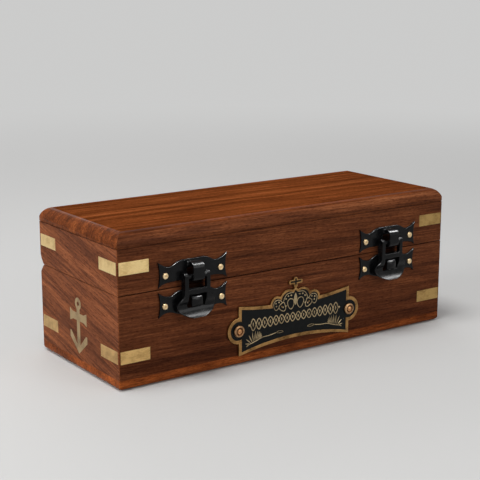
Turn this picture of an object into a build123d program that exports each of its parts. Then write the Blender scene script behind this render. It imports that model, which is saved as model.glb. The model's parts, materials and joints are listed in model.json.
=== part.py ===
from build123d import *
from math import hypot, sqrt
import os

# Small wooden instrument box: mitred rosewood walls with flush brass strips at the corners, a
# hinged lid with a bevelled back edge, black iron hasp latches, a nameplate and padded cradles.
# Millimetres. The origin is the middle of the underside, +X runs along the front from left to
# right, +Y from the front to the back and +Z up. The lid is closed and both hasps hang down.

# Wooden case
case_length = 217.0
case_depth = 85.0
case_height = 80.0
wall_thickness = 10.0
top_panel_thickness = 8.0
bottom_panel_thickness = 5.5
parting_height = 48.7
parting_gap = 0.3
top_edge_radius = 7.2
bottom_edge_radius = 3.0
corner_ease = 0.8

# Bevels along the back edge, which let the lid fall open past upright
back_bevel_depth = 4.0
lid_bevel_height = 9.0
base_bevel_height = 5.0

# Flush brass strips at the corners
strip_height = 6.6
strip_thickness = 1.0
long_strip_length = 17.0
end_strip_length = 17.4
long_strip_margin = 0.8
end_strip_margin = 1.4
base_strip_height = 17.1
lid_strip_rise = 1.875  # above the middle of the lid's walls

# Inlaid brass anchor on the left end
anchor_bottom = 8.5
anchor_height = 30.4
anchor_shank_width = 3.5
anchor_stock_width = 18.4
anchor_stock_height = 20.0
anchor_stock_thickness = 4.2
anchor_stock_tip = 6.6
anchor_stock_flare = 2.8
anchor_stock_end = 0.6
anchor_crown = 5.2
anchor_fluke_spread = 9.4
anchor_fluke_height = 11.2
anchor_fluke_tip = 3.6
anchor_fluke_width = 1.5
anchor_ring_radius = 3.3
anchor_eye_radius = 1.1
anchor_thickness = 1.0

# Nameplate
plate_nail_height = 19.1
plate_half_width = 37.5
plate_rise = 13.2
plate_drop = 13.9
plate_waist = 3.0
plate_arch = 4.1
plate_ear_radius = 7.0
plate_thickness = 1.2
plate_rim = 1.9
crest_rim = 1.2
crest_lobe_spread = 12.4
crest_lobe_radius = 4.4
crest_lobe_height = 2.2
crest_arch_spread = 4.6
crest_arch_radius = 6.2
crest_arch_height = 3.0
crest_peak = 10.6
crest_shoulder_drop = 2.6
crest_point_width = 3.0
crest_point_height = 1.9
finial_width = 2.6
finial_height = 5.6
finial_root = 0.8
finial_arm_span = 9.2
finial_arm_width = 2.2
finial_arm_height = 3.1
finial_rounding = 0.9
plate_recess = 0.35
enamel_thickness = 0.2
plate_nail_radius = 3.2
plate_nail_rise = 1.6

# Latches
latch_margin = 43.0
latch_sheet = 1.2
latch_half_width = 20.7
latch_tip_hollow = 1.1
lid_plate_height = 13.6
lid_plate_lift = 0.8
lid_plate_crown = 5.6
lid_plate_dip = 3.0
lid_plate_foot = 11.4
lid_plate_foot_rise = 2.6
catch_plate_height = 13.6
catch_plate_drop = 1.1
catch_plate_crown = 6.2
catch_plate_dip = 2.9
catch_plate_foot = 6.2
catch_plate_foot_rise = 2.3
tongue_width = 6.6
tongue_slot_gap = 0.35
hood_reach = 7.0
hood_radius = 3.5
hood_height = 9.5
catch_radius = 2.5
hasp_pivot_height = 5.5
hasp_bar_radius = 1.25
hasp_play = 0.3
hasp_front = 5.5
hasp_back = 1.6
hasp_lug_rise = 2.2
hasp_lug_drop = 2.0
hasp_waist = 0.9
hasp_half_width = 7.6
hasp_window_half_width = 5.3
crossbar_drop = 9.2
crossbar_height = 2.8
catch_tip_drop = 15.7
catch_clearance = 0.35
snap_gap = 0.5
lip_drop = 21.2
lip_half_width = 11.3
lip_reach = 7.3

# Nails and screws
nail_head_radius = 1.6
nail_head_rise = 0.8
nail_head_taper = 0.35
nail_shank_width = 1.2
nail_length = 7.0
nail_point = 1.0
nail_tip_width = 0.1
shank_clearance = 0.05
lid_nail_spacing = 33.0
catch_nail_spacing = 34.0
lid_nail_height = 6.9
catch_nail_drop = 8.7
screw_head_radius = 1.5
screw_shank_radius = 0.7
screw_length = 6.0
screw_head_depth = 0.63
screw_spacing = 16.0

# Butt hinges in the back rims
hinge_margin = 43.5
hinge_length = 26.0
hinge_inset = 3.3
leaf_reach = 6.2
leaf_thickness = 0.9
leaf_gap = 0.1
barrel_radius = 1.9
hinge_pin_radius = 0.8
pin_clearance = 0.05
knuckle_gap = 0.15
barrel_clearance = 0.3

# Lining and cradles
velvet_thickness = 1.2
pad_thickness = 3.0
lining_below_rim = 0.8
cradle_margin = 56.5
cradle_thickness = 16.0
cradle_height = 23.3
cradle_velvet = 1.0
saddle_floor = 4.8
wide_saddle_radius = 24.5
narrow_saddle_radius = 21.0

# Levels and faces worked out from the sizes above
end_x = case_length / 2
back_y = case_depth / 2
front_y = -back_y
inner_x = end_x - wall_thickness
inner_y = back_y - wall_thickness
base_rim = parting_height - parting_gap / 2
lid_rim = parting_height + parting_gap / 2
lid_shoulder = case_height - top_panel_thickness
lid_strip_height = (lid_rim + lid_shoulder) / 2 + lid_strip_rise
floor_top = bottom_panel_thickness + velvet_thickness
hinge_y = back_y - hinge_inset
hinge_x = end_x - hinge_margin
latch_x = end_x - latch_margin
cradle_x = end_x - cradle_margin
cradle_top = floor_top + cradle_height
bed_axis_height = floor_top + saddle_floor + wide_saddle_radius
pivot_reach = hood_reach - latch_sheet - hasp_play - hasp_bar_radius
crest_foot = plate_rise - plate_waist - plate_rim
sides = ("front", "back", "left", "right")
hands = {"left": -1, "right": 1}


def block(x, y, z):
    """A box from its low and high x, y and z."""
    middle = Pos((x[0] + x[1]) / 2, (y[0] + y[1]) / 2, (z[0] + z[1]) / 2)
    return middle * Box(x[1] - x[0], y[1] - y[0], z[1] - z[0])


def across_case(outline):
    """Runs an outline drawn in y and z through the whole length of the case."""
    return extrude(Plane.YZ * outline, amount=case_length, both=True)


def on_front(x, height, solid):
    """Moves a solid drawn as right, up and out to the front face."""
    place = Plane(origin=(x, front_y, height), x_dir=(1, 0, 0), z_dir=(0, -1, 0))
    return place.location * solid


def on_left_end(height, solid):
    """Moves a solid drawn as right, up and out to the left end."""
    place = Plane(origin=(-end_x, 0, height), x_dir=(0, -1, 0), z_dir=(-1, 0, 0))
    return place.location * solid


def mirrored_face(right_half):
    """A face from edges that run down its right half, from the centre line to the centre line."""
    half = make_face(right_half + [Line(right_half[-1] @ 1, right_half[0] @ 0)])
    return half + mirror(half, Plane.YZ)


def side_profile(outline, width):
    """Runs an outline drawn as out and up across a width, centred, in the frame of a face."""
    out_and_up = Plane(origin=(0, 0, 0), x_dir=(0, 0, 1), z_dir=(-1, 0, 0))
    return extrude(out_and_up * outline, amount=width / 2, both=True)


# Case: panels and mitred walls


def rounded_panel(low, high, radius, round_top):
    """A flat board over the whole plan, with its top or its bottom edges rounded."""
    radius = min(radius, 0.9 * (high - low))
    middle = (low + high) / 2
    body = Pos(0, 0, low) * extrude(
        RectangleRounded(case_length, case_depth, corner_ease), amount=high - low
    )
    for plane, width in ((Plane.XZ, case_length), (Plane.YZ, case_depth)):
        section = Pos(0, middle) * Rectangle(width, high - low)
        edge = section.vertices().group_by(Axis.Y)[-1 if round_top else 0]
        body &= extrude(plane * fillet(edge, radius), amount=case_length, both=True)
    return body


def mitre_wedge(side, low, high):
    """The part of the plan that one wall takes, cut at 45 degrees through the corners."""
    over, reach = 1.0, wall_thickness + corner_ease
    x, y = end_x, back_y
    wedge = make_face(
        Polyline(
            (-x - over, y + over),
            (x + over, y + over),
            (x - reach, y - reach),
            (reach - x, y - reach),
            close=True,
        )
    )
    if side in hands:
        wedge = make_face(
            Polyline(
                (x + over, -y - over),
                (x + over, y + over),
                (x - reach, y - reach),
                (x - reach, reach - y),
                close=True,
            )
        )
    solid = Pos(0, 0, low) * extrude(wedge, amount=high - low)
    return mirror(solid, Plane.XZ if side == "front" else Plane.YZ) if side in ("front", "left") else solid


def mitred_walls(low, high, bevel):
    """The four walls of the base or the lid, by side, with the back bevel cut through."""
    ring = Pos(0, 0, low) * extrude(
        RectangleRounded(case_length, case_depth, corner_ease), amount=high - low
    )
    ring -= block((-inner_x, inner_x), (-inner_y, inner_y), (low, high))
    ring -= bevel
    return {side: ring & mitre_wedge(side, low, high) for side in sides}


def base_bevel():
    """The flat bevel along the back edge of the base rim."""
    apex, over = back_y - back_bevel_depth, 1.0
    corners = [
        (apex, base_rim + over),
        (apex, base_rim),
        (back_y, base_rim - base_bevel_height),
        (back_y + over, base_rim - base_bevel_height),
        (back_y + over, base_rim + over),
    ]
    return across_case(make_face(Polyline(*corners, close=True)))


def lid_bevel():
    """The rounded bevel along the back edge of the lid rim, tangent to the back face."""
    apex, over, top = back_y - back_bevel_depth, 1.0, lid_rim + lid_bevel_height
    edges = [
        TangentArc((back_y, top), (apex, lid_rim), tangent=(0, -1)),
        Polyline(
            (apex, lid_rim),
            (apex, lid_rim - over),
            (back_y + over, lid_rim - over),
            (back_y + over, top),
            (back_y, top),
        ),
    ]
    return across_case(make_face(edges))


# Brass inlay


def corner_strips(x_sign, y_sign, height):
    """The strip on the long face and the strip on the end face at one corner."""
    z = (height - strip_height / 2, height + strip_height / 2)
    long_x = sorted(
        (
            x_sign * (end_x - long_strip_margin),
            x_sign * (end_x - long_strip_margin - long_strip_length),
        )
    )
    long_y = sorted((y_sign * back_y, y_sign * (back_y - strip_thickness)))
    end_x_span = sorted((x_sign * end_x, x_sign * (end_x - strip_thickness)))
    end_y = sorted(
        (
            y_sign * (back_y - end_strip_margin),
            y_sign * (back_y - end_strip_margin - end_strip_length),
        )
    )
    return [block(long_x, long_y, z), block(end_x_span, end_y, z)]


def anchor():
    """A plain anchor: shank with an eye, flared stock and two pointed flukes."""
    half_shank, half_stock = anchor_shank_width / 2, anchor_stock_width / 2
    eye_height = anchor_height - anchor_ring_radius
    shank = Pos(0, (eye_height + anchor_crown) / 2) * Rectangle(
        anchor_shank_width, eye_height - anchor_crown
    )
    eye = Pos(0, eye_height) * Circle(anchor_ring_radius)
    end, flare = half_stock - anchor_stock_end, half_stock - anchor_stock_end - anchor_stock_flare
    tip, middle = anchor_stock_tip / 2, anchor_stock_thickness / 2
    upper = [(flare, middle), (end, tip), (half_stock, tip)]
    lower = [(x, -y) for x, y in reversed(upper)]
    stock = Pos(0, anchor_stock_height) * mirrored_face(
        [Polyline((0, middle), *upper, *lower, (0, -middle))]
    )
    spread = anchor_fluke_spread
    flukes = mirrored_face(
        [
            Polyline(
                (0, 0),
                (spread, anchor_fluke_height - anchor_fluke_tip),
                (spread, anchor_fluke_height),
                (spread - anchor_fluke_width, anchor_fluke_height),
                (half_shank, anchor_crown),
                (0, anchor_crown),
            )
        ]
    )
    face = shank + eye + stock + flukes - Pos(0, eye_height) * Circle(anchor_eye_radius)
    return on_left_end(anchor_bottom, extrude(face, amount=-anchor_thickness))


# Nails and screws, drawn with the seat at zero and the head outwards


def nail(head_radius, head_rise, length):
    """A nail with a round bevelled head, a square shank and a drawn point."""
    head = Pos(0, 0, head_rise / 2) * Cone(head_radius, head_radius - nail_head_taper, head_rise)
    shank = Rectangle(nail_shank_width, nail_shank_width)
    tip = Pos(0, 0, -length - nail_point) * Rectangle(nail_tip_width, nail_tip_width)
    point = loft([Pos(0, 0, -length) * shank, tip])
    return head + extrude(shank, amount=-length) + point


def nail_bite(length):
    """The square hole that a nail of this length leaves in the wood."""
    width = nail_shank_width + 2 * shank_clearance
    return extrude(Rectangle(width, width), amount=-(length + nail_point + 0.2))


def nail_hole(deep):
    """The round hole for a nail through a plate this thick, seen from the plate's back."""
    return Cylinder(nail_shank_width * sqrt(0.5) + shank_clearance, 3 * deep)


def screw(grow):
    """A countersunk screw with its flat head at zero; grow widens it into its own hole."""
    head = Pos(0, 0, -screw_head_depth / 2) * Cone(
        screw_shank_radius + grow, screw_head_radius + grow, screw_head_depth
    )
    shank = Pos(0, 0, -(screw_length + grow) / 2) * Cylinder(
        screw_shank_radius + grow, screw_length + grow
    )
    return head + shank


# Nameplate, drawn as right and up from the middle of its nail line


def plate_body(inset):
    """The waisted plate with its two ears, drawn in by inset all round."""
    half = plate_half_width - inset
    top, bottom = plate_rise - inset, inset - plate_drop
    waist = plate_rise - plate_waist - inset
    arch = plate_arch - plate_drop + inset
    body = make_face(
        [
            ThreePointArc((-half, top), (0, waist), (half, top)),
            Line((half, top), (half, bottom)),
            ThreePointArc((half, bottom), (0, arch), (-half, bottom)),
            Line((-half, bottom), (-half, top)),
        ]
    )
    for side in (-1, 1):
        body += Pos(side * plate_half_width, 0) * Circle(plate_ear_radius - inset)
    return body


def plate_crest(inset):
    """The crown-shaped crest on the plate's top edge, drawn in by inset."""
    foot, spread = crest_foot, crest_arch_spread
    steepness = 1.4
    peak = foot + crest_peak - steepness * inset
    shoulder = foot + crest_peak - crest_shoulder_drop - inset
    half_point, neck = crest_point_width / 2, peak - crest_point_height
    crest = make_face(
        [
            Line((-spread, foot), (spread, foot)),
            Line((spread, foot), (spread, shoulder)),
            ThreePointArc((spread, shoulder), (half_point, neck), (0, peak)),
            ThreePointArc((0, peak), (-half_point, neck), (-spread, shoulder)),
            Line((-spread, shoulder), (-spread, foot)),
        ]
    )
    for side in (-1, 1):
        lobe = Pos(side * crest_lobe_spread, foot + crest_lobe_height)
        arch = Pos(side * spread, foot + crest_arch_height)
        crest += lobe * Circle(crest_lobe_radius - inset)
        crest += arch * Circle(crest_arch_radius - inset)
    return crest


def crest_finial():
    """The small rounded cross above the crest."""
    foot = crest_foot + crest_peak - finial_root
    upright = Pos(0, foot + finial_height / 2) * RectangleRounded(
        finial_width, finial_height, finial_rounding
    )
    arms = Pos(0, foot + finial_arm_height) * RectangleRounded(
        finial_arm_span, finial_arm_width, finial_rounding
    )
    return upright + arms


def nameplate():
    """The brass plate with its field sunk, and the enamel that fills the field."""
    field = plate_body(plate_rim) + plate_crest(crest_rim)
    sunk = plate_thickness - plate_recess
    outline = plate_body(0) + plate_crest(0) + crest_finial()
    plate = extrude(outline, amount=plate_thickness)
    plate -= Pos(0, 0, sunk) * extrude(field, amount=plate_recess)
    enamel = Pos(0, 0, sunk) * extrude(field, amount=enamel_thickness)
    for side in (-1, 1):
        hole = Pos(side * plate_half_width, 0) * nail_hole(plate_thickness)
        plate -= hole
        enamel -= hole
    return plate, enamel


# Latches, drawn as right, up from the parting line and out from the front face


def butterfly(low, high, crown, dip, foot, foot_rise, foot_dip):
    """A latch plate's outline: dipped top, hollow tips and a foot raised in the middle."""
    wide, flare = latch_half_width, (0.75, 0.66)
    edge, foot_edge = high - 0.5, low + foot_rise
    top_dip, low_dip = (wide + crown) / 2, (wide + foot) / 2
    return mirrored_face(
        [
            Line((0, edge), (crown, edge)),
            Spline((crown, edge), (top_dip, high - dip), (wide, high), tangents=[(1, 0), flare]),
            ThreePointArc((wide, high), (wide - latch_tip_hollow, (low + high) / 2), (wide, low)),
            Spline(
                (wide, low), (low_dip, low + foot_dip), (foot, foot_edge), tangents=[(-0.6, 0.8), (-1, 0)]
            ),
            Line((foot, foot_edge), (0, foot_edge)),
        ]
    )


def tongue_slot(low, high):
    """What the bent tongue leaves open in its plate."""
    half = tongue_width / 2 + tongue_slot_gap
    return block((-half, half), (low, high), (0, latch_sheet))


def lid_latch_plate():
    """The upper butterfly plate with its tongue bent out and curled round the hasp's bar."""
    low, high = lid_plate_lift, lid_plate_lift + lid_plate_height
    foot_dip = lid_plate_foot_rise - 0.3
    outline = butterfly(
        low, high, lid_plate_crown, lid_plate_dip, lid_plate_foot, lid_plate_foot_rise, foot_dip
    )
    plate = extrude(outline, amount=latch_sheet) - tongue_slot(low, hood_height)
    middle, slot_top, curl_height = pivot_reach, hood_height, hasp_pivot_height
    curl_out = hood_reach - pivot_reach
    curl, inner = curl_out - latch_sheet, hood_radius - latch_sheet
    back, down = 0.8, 0.6

    def curl_end(radius):
        """Where the curl stops, down and back from the bar."""
        return middle - back * radius, curl_height - down * radius

    crown = hood_reach / 2
    hood = make_face(
        [
            Line((0, slot_top), (latch_sheet, slot_top)),
            ThreePointArc(
                (latch_sheet, slot_top), (crown, slot_top + inner), (hood_reach - latch_sheet, slot_top)
            ),
            Line((hood_reach - latch_sheet, slot_top), (middle + curl, curl_height)),
            ThreePointArc((middle + curl, curl_height), (middle, curl_height - curl), curl_end(curl)),
            Line(curl_end(curl), curl_end(curl_out)),
            ThreePointArc(curl_end(curl_out), (middle, curl_height - curl_out), (hood_reach, curl_height)),
            Line((hood_reach, curl_height), (hood_reach, slot_top)),
            ThreePointArc((hood_reach, slot_top), (crown, slot_top + hood_radius), (0, slot_top)),
        ]
    )
    plate += side_profile(hood, tongue_width)
    for side in (-1, 1):
        plate -= Pos(side * lid_nail_spacing / 2, lid_nail_height) * nail_hole(latch_sheet)
    return plate


def catch_centre():
    """Height of the catch tongue's bend: as near the crossbar as its swing allows."""
    crossbar_sweep = hypot(crossbar_drop, hasp_front - pivot_reach)
    apart = crossbar_sweep + catch_clearance + catch_radius
    return hasp_pivot_height - sqrt(apart**2 - (pivot_reach - catch_radius) ** 2)


def catch_plate():
    """The lower butterfly plate with the bent tongue that holds the hasp down."""
    high = -catch_plate_drop
    low = high - catch_plate_height
    outline = butterfly(
        low, high, catch_plate_crown, catch_plate_dip, catch_plate_foot, 0.5, catch_plate_foot_rise
    )
    bend, inner = catch_centre(), catch_radius - latch_sheet
    plate = extrude(outline, amount=latch_sheet) - tongue_slot(low, bend)
    tip = hasp_pivot_height - catch_tip_drop
    reach = 2 * catch_radius
    tongue = make_face(
        [
            Line((0, bend), (latch_sheet, bend)),
            ThreePointArc((latch_sheet, bend), (catch_radius, bend + inner), (reach - latch_sheet, bend)),
            Polyline((reach - latch_sheet, bend), (reach - latch_sheet, tip), (reach, tip), (reach, bend)),
            ThreePointArc((reach, bend), (catch_radius, bend + catch_radius), (0, bend)),
        ]
    )
    plate += side_profile(tongue, tongue_width)
    for side in (-1, 1):
        plate -= Pos(side * catch_nail_spacing / 2, -catch_nail_drop) * nail_hole(latch_sheet)
    return plate


def hasp():
    """The pressed frame: two rails with folded cheeks, a crossbar, a pivot bar and a flared lip."""
    pivot, wide, window = hasp_pivot_height, hasp_half_width, hasp_window_half_width
    lip, spread = pivot - lip_drop, lip_half_width
    crossbar_low = pivot - crossbar_drop
    crossbar_high = crossbar_low + crossbar_height
    window_foot = pivot - catch_tip_drop - snap_gap
    shoulder, bend, waist = crossbar_low + 0.7, crossbar_low - 1.0, window_foot + 1.2
    outline = mirrored_face(
        [
            Line((0, pivot), (wide, pivot)),
            Line((wide, pivot), (wide, shoulder)),
            Spline(
                (wide, shoulder),
                (spread - 0.8, window_foot + 3.6),
                (spread, window_foot + 1.0),
                (0.86 * spread, lip + 2.6),
                (0.45 * spread, lip + 0.5),
                (0, lip),
                tangents=[(0, -1), (-1, 0)],
            ),
        ]
    )
    for low, high in ((crossbar_high, pivot), (window_foot, crossbar_low)):
        outline -= Pos(0, (low + high) / 2) * Rectangle(2 * window, high - low)
    waist_reach = hasp_back + hasp_waist

    def sheet_line(shift):
        """The bent line of the sheet, from the pivot down past the lip, moved outwards."""
        front = hasp_front - latch_sheet + shift
        return [
            Line((front, pivot), (front, bend)),
            Spline(
                (front, bend),
                (waist_reach + shift, waist),
                (waist_reach + 0.3 + shift, window_foot - 0.9),
                (lip_reach - latch_sheet + shift, lip),
                (lip_reach + 0.6 + shift, lip - 1.0),
                tangents=[(0, -1), (0.85, -0.53)],
            ),
        ]

    inside, outside = sheet_line(0), sheet_line(latch_sheet)
    ends = [Line(inside[0] @ 0, outside[0] @ 0), Line(inside[-1] @ 1, outside[-1] @ 1)]
    sheet = make_face(inside + outside + ends)
    body = extrude(outline, amount=2 * lip_reach) & side_profile(sheet, 3 * spread)

    top = ((hasp_back + hasp_front) / 2, pivot + hasp_lug_rise)
    round_top = ThreePointArc((hasp_back, pivot), top, (hasp_front, pivot))
    fold = [
        (hasp_front, pivot),
        (hasp_front, bend),
        (hasp_front - 0.4 * latch_sheet, bend),
        (waist_reach + 0.5 * latch_sheet, waist + 0.3),
        (hasp_back, waist + 1.6),
        (hasp_back, pivot),
    ]
    low = pivot - hasp_lug_drop
    square = [(hasp_front, pivot), (hasp_front, low), (hasp_back, low), (hasp_back, pivot)]
    cheek, lug = make_face([round_top, Polyline(*fold)]), make_face([round_top, Polyline(*square)])
    for side in (-1, 1):
        body += Pos(side * (wide - latch_sheet / 2), 0) * side_profile(cheek, latch_sheet)
        body += Pos(side * (wide + window) / 2, 0) * side_profile(lug, wide - window)
    bar = Pos(0, pivot, pivot_reach) * Rot(0, 90, 0) * Cylinder(hasp_bar_radius, wide + window)
    return body + bar


# Butt hinges, drawn with the pin's axis along x through the origin


def hinge_leaf(upper):
    """One leaf with its knuckles: the lid's leaf has the middle one, the base's the outer two."""
    third = hinge_length / 3
    spans = [(-hinge_length / 2, -third / 2 - knuckle_gap), (third / 2 + knuckle_gap, hinge_length / 2)]
    z = (-leaf_gap / 2 - leaf_thickness, -leaf_gap / 2)
    if upper:
        spans = [(-third / 2, third / 2)]
        z = (leaf_gap / 2, leaf_gap / 2 + leaf_thickness)
    start = -barrel_radius - barrel_clearance
    leaf = block((-hinge_length / 2, hinge_length / 2), (-leaf_reach, start), z)
    for span in spans:
        leaf += block(span, (start, 0), z)
        middle = Pos((span[0] + span[1]) / 2, 0, 0) * Rot(0, 90, 0)
        leaf += middle * Cylinder(barrel_radius, span[1] - span[0])
    leaf -= Rot(0, 90, 0) * Cylinder(hinge_pin_radius + pin_clearance, hinge_length + 1)
    for place in screw_places(upper):
        leaf -= place * screw(shank_clearance)
    return leaf


def screw_places(upper):
    """Where the leaf's screws sit, with their heads at the leaf's open face."""
    y = -(leaf_reach + barrel_radius + barrel_clearance) / 2
    turn = Rot(180, 0, 0) if upper else Rot(0, 0, 0)
    z = leaf_gap / 2 if upper else -leaf_gap / 2
    return [Pos(side * screw_spacing / 2, y, z) * turn for side in (-1, 1)]


def leaf_seat(upper):
    """What the hinge takes out of the wood of the base or the lid."""
    z = (leaf_gap / 2, leaf_gap / 2 + leaf_thickness)
    if not upper:
        z = (-leaf_gap / 2 - leaf_thickness, -leaf_gap / 2)
    low, high = min(z[0], -parting_gap), max(z[1], parting_gap)
    seat = block((-hinge_length / 2, hinge_length / 2), (-leaf_reach, 0), (low, high))
    seat += Rot(0, 90, 0) * Cylinder(barrel_radius + barrel_clearance, hinge_length)
    for place in screw_places(upper):
        seat += place * screw(shank_clearance)
    return seat


def at_hinge(hand, solid):
    """Moves a hinge solid to the left or the right hinge."""
    return Pos(hands[hand] * hinge_x, hinge_y, parting_height) * solid


# Lining and cradles


def wall_linings(low, high):
    """The velvet on the four inner wall faces, by side."""
    cover = velvet_thickness
    front = block((-inner_x, inner_x), (-inner_y, cover - inner_y), (low, high))
    left = block((-inner_x, cover - inner_x), (cover - inner_y, inner_y - cover), (low, high))
    return {
        "front": front,
        "back": mirror(front, Plane.XZ),
        "left": left,
        "right": mirror(left, Plane.YZ),
    }


def cradle(saddle_radius):
    """A block with a round saddle, and the velvet drawn over its faces, top and saddle."""
    half_width = inner_y - velvet_thickness

    def shape(shrink):
        low, high = floor_top, cradle_top - shrink
        face = Pos(0, (low + high) / 2) * Rectangle(2 * half_width, high - low)
        face -= Pos(0, bed_axis_height) * Circle(saddle_radius + shrink)
        return extrude(Plane.YZ * face, amount=cradle_thickness / 2 - shrink, both=True)

    core = shape(cradle_velvet)
    return core, shape(0) - core


# Assembly: every node by name


def build_base(nodes):
    """The base's wood, strips, anchor, hinge leaves, pins, lining and cradles."""
    walls = mitred_walls(bottom_panel_thickness, base_rim, base_bevel())
    nodes["base_bottom_panel"] = [rounded_panel(0, bottom_panel_thickness, bottom_edge_radius, False)]
    for x_name, x_sign in hands.items():
        for y_name, y_sign in (("front", -1), ("back", 1)):
            strips = corner_strips(x_sign, y_sign, base_strip_height)
            for strip in strips:
                walls[y_name] -= strip
                walls[x_name] -= strip
            nodes[f"base_strips_{y_name}_{x_name}"] = strips
    nodes["anchor_inlay"] = [anchor()]
    walls["left"] -= nodes["anchor_inlay"][0]
    for hand in hands:
        walls["back"] -= at_hinge(hand, leaf_seat(False))
        nodes[f"{hand}_hinge_base_leaf"] = [at_hinge(hand, hinge_leaf(False))]
        pin = Rot(0, 90, 0) * Cylinder(hinge_pin_radius, hinge_length)
        nodes[f"{hand}_hinge_pin"] = [at_hinge(hand, pin)]
        nodes[f"{hand}_hinge_base_screws"] = [
            at_hinge(hand, place * screw(0)) for place in screw_places(False)
        ]
        core, cover = cradle(wide_saddle_radius if hand == "left" else narrow_saddle_radius)
        place = Pos(hands[hand] * cradle_x, 0, 0)
        nodes[f"{hand}_cradle_block"] = [place * core]
        nodes[f"{hand}_cradle_cover"] = [place * cover]
    nodes["base_floor_lining"] = [
        block((-inner_x, inner_x), (-inner_y, inner_y), (bottom_panel_thickness, floor_top))
    ]
    for side, lining in wall_linings(floor_top, base_rim - lining_below_rim).items():
        nodes[f"base_{side}_lining"] = [lining]
    return walls


def build_lid(nodes):
    """The lid's wood, strips, hinge leaves, pad and lining."""
    walls = mitred_walls(lid_rim, lid_shoulder, lid_bevel())
    nodes["lid_top_panel"] = [rounded_panel(lid_shoulder, case_height, top_edge_radius, True)]
    for x_name, x_sign in hands.items():
        for y_name, y_sign in (("front", -1), ("back", 1)):
            strips = corner_strips(x_sign, y_sign, lid_strip_height)
            for strip in strips:
                walls[y_name] -= strip
                walls[x_name] -= strip
            nodes[f"lid_strips_{y_name}_{x_name}"] = strips
    for hand in hands:
        walls["back"] -= at_hinge(hand, leaf_seat(True))
        nodes[f"{hand}_hinge_lid_leaf"] = [at_hinge(hand, hinge_leaf(True))]
        nodes[f"{hand}_hinge_lid_screws"] = [
            at_hinge(hand, place * screw(0)) for place in screw_places(True)
        ]
    pad_low = lid_shoulder - pad_thickness
    nodes["lid_pad"] = [block((-inner_x, inner_x), (-inner_y, inner_y), (pad_low, lid_shoulder))]
    for side, lining in wall_linings(lid_rim + lining_below_rim, pad_low).items():
        nodes[f"lid_{side}_lining"] = [lining]
    return walls


def build_front(nodes, base_walls, lid_walls):
    """The nameplate and the two latches, and their nail holes in the front walls."""
    plate, enamel = nameplate()
    seat = plate_thickness - plate_recess + enamel_thickness
    nodes["nameplate"] = [on_front(0, plate_nail_height, plate)]
    nodes["nameplate_enamel"] = [on_front(0, plate_nail_height, enamel)]
    nodes["nameplate_nails"] = []
    for side in (-1, 1):
        place = Pos(side * plate_half_width, 0, seat)
        broad = place * nail(plate_nail_radius, plate_nail_rise, nail_length)
        nodes["nameplate_nails"].append(on_front(0, plate_nail_height, broad))
        base_walls["front"] -= on_front(0, plate_nail_height, place * nail_bite(nail_length))
    for hand, sign in hands.items():
        x = sign * latch_x
        nodes[f"{hand}_latch_plate"] = [on_front(x, parting_height, lid_latch_plate())]
        nodes[f"{hand}_catch_plate"] = [on_front(x, parting_height, catch_plate())]
        nodes[f"{hand}_hasp"] = [on_front(x, parting_height, hasp())]
        for name, walls, spacing, height in (
            ("latch", lid_walls, lid_nail_spacing, lid_nail_height),
            ("catch", base_walls, catch_nail_spacing, -catch_nail_drop),
        ):
            nails = []
            for side in (-1, 1):
                place = Pos(side * spacing / 2, height, latch_sheet)
                tack = place * nail(nail_head_radius, nail_head_rise, nail_length)
                nails.append(on_front(x, parting_height, tack))
                walls["front"] -= on_front(x, parting_height, place * nail_bite(nail_length))
            nodes[f"{hand}_{name}_nails"] = nails


def build():
    """All the nodes: a name and its list of solids."""
    nodes = {}
    base_walls = build_base(nodes)
    lid_walls = build_lid(nodes)
    build_front(nodes, base_walls, lid_walls)
    for side in sides:
        nodes[f"base_{side}_wall"] = [base_walls[side]]
        nodes[f"lid_{side}_wall"] = [lid_walls[side]]
    return nodes


def write(nodes):
    """Writes one STEP file for each node."""
    os.makedirs("parts", exist_ok=True)
    for name, shapes in nodes.items():
        solids = [solid for shape in shapes for solid in shape.solids()]
        whole = solids[0] if len(solids) == 1 else Compound(children=solids)
        whole.label = name
        export_step(whole, f"parts/{name}.step")
        print(name, len(solids), round(sum(solid.volume for solid in solids), 1))


write(build())
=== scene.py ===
import json
import math
import bpy
import bmesh
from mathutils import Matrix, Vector


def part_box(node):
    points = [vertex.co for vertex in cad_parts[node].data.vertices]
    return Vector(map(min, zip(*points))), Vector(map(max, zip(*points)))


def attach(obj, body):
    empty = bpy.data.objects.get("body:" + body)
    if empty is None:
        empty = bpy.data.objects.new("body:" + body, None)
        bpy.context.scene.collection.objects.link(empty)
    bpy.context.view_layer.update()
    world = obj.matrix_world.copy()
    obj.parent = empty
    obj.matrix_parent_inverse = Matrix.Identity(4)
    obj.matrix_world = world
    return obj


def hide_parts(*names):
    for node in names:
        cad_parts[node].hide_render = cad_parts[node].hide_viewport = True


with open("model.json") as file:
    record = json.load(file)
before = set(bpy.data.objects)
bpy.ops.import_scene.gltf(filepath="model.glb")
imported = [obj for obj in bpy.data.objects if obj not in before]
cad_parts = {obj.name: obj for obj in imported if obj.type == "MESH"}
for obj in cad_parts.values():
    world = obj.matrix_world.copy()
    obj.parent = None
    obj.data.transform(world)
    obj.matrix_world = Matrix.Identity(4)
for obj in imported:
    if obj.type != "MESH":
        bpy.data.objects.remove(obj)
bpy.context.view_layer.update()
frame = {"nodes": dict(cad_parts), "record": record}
nodes = frame["nodes"]
mm = 0.001
hands = ("left", "right")
print("frame loaded:", len(nodes), "nodes")

# Camera at the photograph's view

viewpoint = {
    "place": (-0.37757, -0.52774, 0.20293),
    "looks": (0.56128, 0.79727, -0.22208),
    "lens": 88.45,
    "sensor": 36.0,
    "nearest": 0.01,
}


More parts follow.
